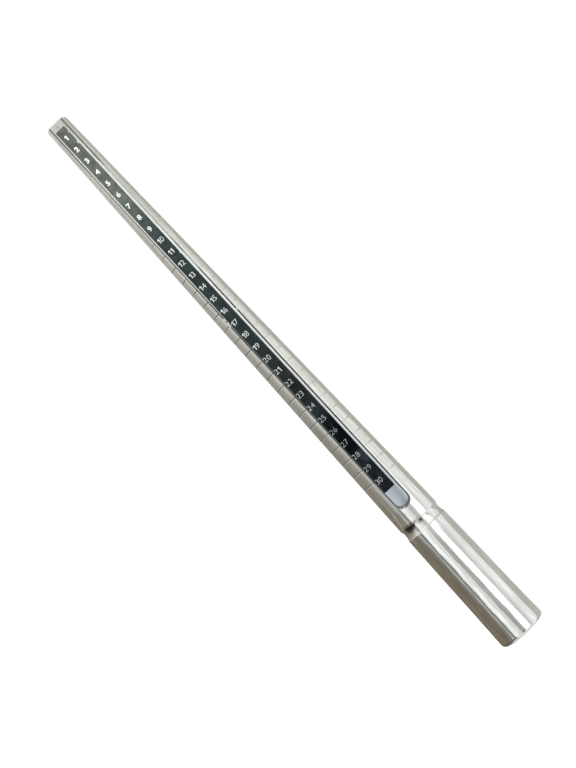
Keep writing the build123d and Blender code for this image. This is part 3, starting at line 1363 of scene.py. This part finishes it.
def build_streak():
    """The curved light line that the polished band shows on its left side."""
    vertices, faces = [], []
    for step in range(STREAK_STEPS + 1):
        share = step / STREAK_STEPS
        bearing = STREAK_BEARINGS[0] + (STREAK_BEARINGS[1] - STREAK_BEARINGS[0]) * share**2
        height = STREAK_HEIGHTS[0] + (STREAK_HEIGHTS[1] - STREAK_HEIGHTS[0]) * share
        for side in (bearing, bearing + streak_spread):
            vertices.append(bearing_point(side, streak_distance, height))
    for step in range(STREAK_STEPS):
        low = 2 * step
        faces.append((low, low + 2, low + 3, low + 1))
    warm = plain_glow("streak", STREAK_COLOUR)
    stage_mesh("streak", vertices, faces, [0] * len(faces), (warm,))


def build_world():
    """White to the camera and in reflections, a plain grey to everything else."""
    world = bpy.data.worlds.new("world")
    bpy.context.scene.world = world
    world.use_nodes = True
    tree = world.node_tree
    tree.nodes.clear()
    path = put(tree, "ShaderNodeLightPath")
    seen = math_node(tree, "MAXIMUM", path.outputs["Is Camera Ray"], path.outputs["Is Glossy Ray"])
    shown = math_node(tree, "MAXIMUM", seen, path.outputs["Is Transmission Ray"])
    ambient = put(tree, "ShaderNodeBackground", {"Color": (0.8, 0.8, 0.8, 1)})
    backdrop = put(tree, "ShaderNodeBackground", {"Color": (1, 1, 1, 1)})
    mix = put(
        tree,
        "ShaderNodeMixShader",
        {0: shown, 1: ambient.outputs[0], 2: backdrop.outputs[0]},
    )
    put(tree, "ShaderNodeOutputWorld", {"Surface": mix.outputs[0]})


# The floor is plain up to the shadow's reach and as white as the backdrop from the last reach
floor_half_side = 3.0
floor_glow = 0.45
shadow_reach = 0.13
fade_reach = 0.4


def build_floor():
    """A pale floor that keeps the stick's shadow and fades to the white of the backdrop."""
    half = floor_half_side
    mesh = bpy.data.meshes.new("floor")
    corners = [(-half, -half, 0), (half, -half, 0), (half, half, 0), (-half, half, 0)]
    mesh.from_pydata(corners, [], [(0, 1, 2, 3)])
    made = bpy.data.objects.new("floor", mesh)
    bpy.context.collection.objects.link(made)
    material, tree, shader = new_material("floor")
    shader.inputs["Base Color"].default_value = (0.8, 0.8, 0.8, 1)
    shader.inputs["Roughness"].default_value = 1
    shader.inputs["Specular IOR Level"].default_value = 0
    path = put(tree, "ShaderNodeLightPath")
    lift = math_node(tree, "MULTIPLY", path.outputs["Is Camera Ray"], floor_glow)
    glow = put(tree, "ShaderNodeEmission", {"Strength": lift})
    near = put(tree, "ShaderNodeAddShader", {0: shader.outputs[0], 1: glow.outputs[0]})
    away = put(tree, "ShaderNodeVectorMath", {0: object_place(tree)}, operation="LENGTH")
    fade = spread(tree, away.outputs["Value"], shadow_reach, fade_reach)
    share = math_node(tree, "MULTIPLY", fade, path.outputs["Is Camera Ray"])
    white = put(tree, "ShaderNodeEmission", {"Color": (1, 1, 1, 1)})
    mix = put(tree, "ShaderNodeMixShader", {0: share, 1: near.outputs[0], 2: white.outputs[0]})
    tree.links.new(mix.outputs[0], tree.nodes["Material Output"].inputs["Surface"])
    dress(made, material)
    made.visible_glossy = False


lamp_aim = Vector((0, 0, 0.15))
lamp_size = 0.9


def build_lamp(name, place, power):
    """A soft square lamp that lights what isn't mirror-like and doesn't show in the polish."""
    data = bpy.data.lights.new(name, "AREA")
    data.shape = "SQUARE"
    data.size = lamp_size
    data.energy = power
    made = bpy.data.objects.new(name, data)
    bpy.context.collection.objects.link(made)
    made.location = place
    made.rotation_mode = "QUATERNION"
    made.rotation_quaternion = (lamp_aim - Vector(place)).to_track_quat("-Z", "Y")
    made.visible_glossy = False


build_camera()

groups = {
    "lathe_marks": build_lathe_marks(),
    "hand_polish": build_hand_polish(),
    "handling": build_handling(),
    "spot_mask": build_worn_spot(),
    "scale_share": build_scale_share(),
}

satin = metal(
    "satin_turned_metal",
    (0.9, 0.9, 0.88),
    (0.84, 0.84, 0.81),
    finish=(0.09, 0.22),
    rough_swing=0.06,
    waves=(0.03, 0.012),
    wave_depth=0.05 * MM,
    mark_pitch=0.25 * MM,
    mark_depth=0.004 * MM,
    groups=groups,
)
polished = metal(
    "polished_turned_metal",
    (0.91, 0.91, 0.9),
    (0.83, 0.83, 0.80),
    finish=(0.08, 0.08),
    rough_swing=0.03,
    waves=(0.015, 0.006),
    wave_depth=0.07 * MM,
    mark_pitch=0.5 * MM,
    mark_depth=0.004 * MM,
    groups=groups,
    neck=True,
)

stick = build_mandrel()
dress(stick, satin, polished, slot_material(groups), line_material(groups))
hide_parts("mandrel")
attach(stick, "root")

strip = build_strip()
dress(strip, strip_material(groups))
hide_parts("scale_strip")
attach(strip, "root")

dress(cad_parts["scale_field"], field_material(groups))

numerals = build_numerals()
dress(numerals, numeral_material(groups))
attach(numerals, "root")

build_world()
build_floor()
build_ring("low_panels", LOW_HEIGHTS, LOW_PANELS)
build_ring("high_panels", HIGH_HEIGHTS, HIGH_PANELS)
build_table()
build_ceiling()
build_streak()
build_lamp("key_lamp", (-0.5, -1.2, 1.2), power=22)
build_lamp("fill_lamp", (0.9, -0.9, 0.7), power=10)

bpy.context.scene.view_settings.view_transform = "Standard"
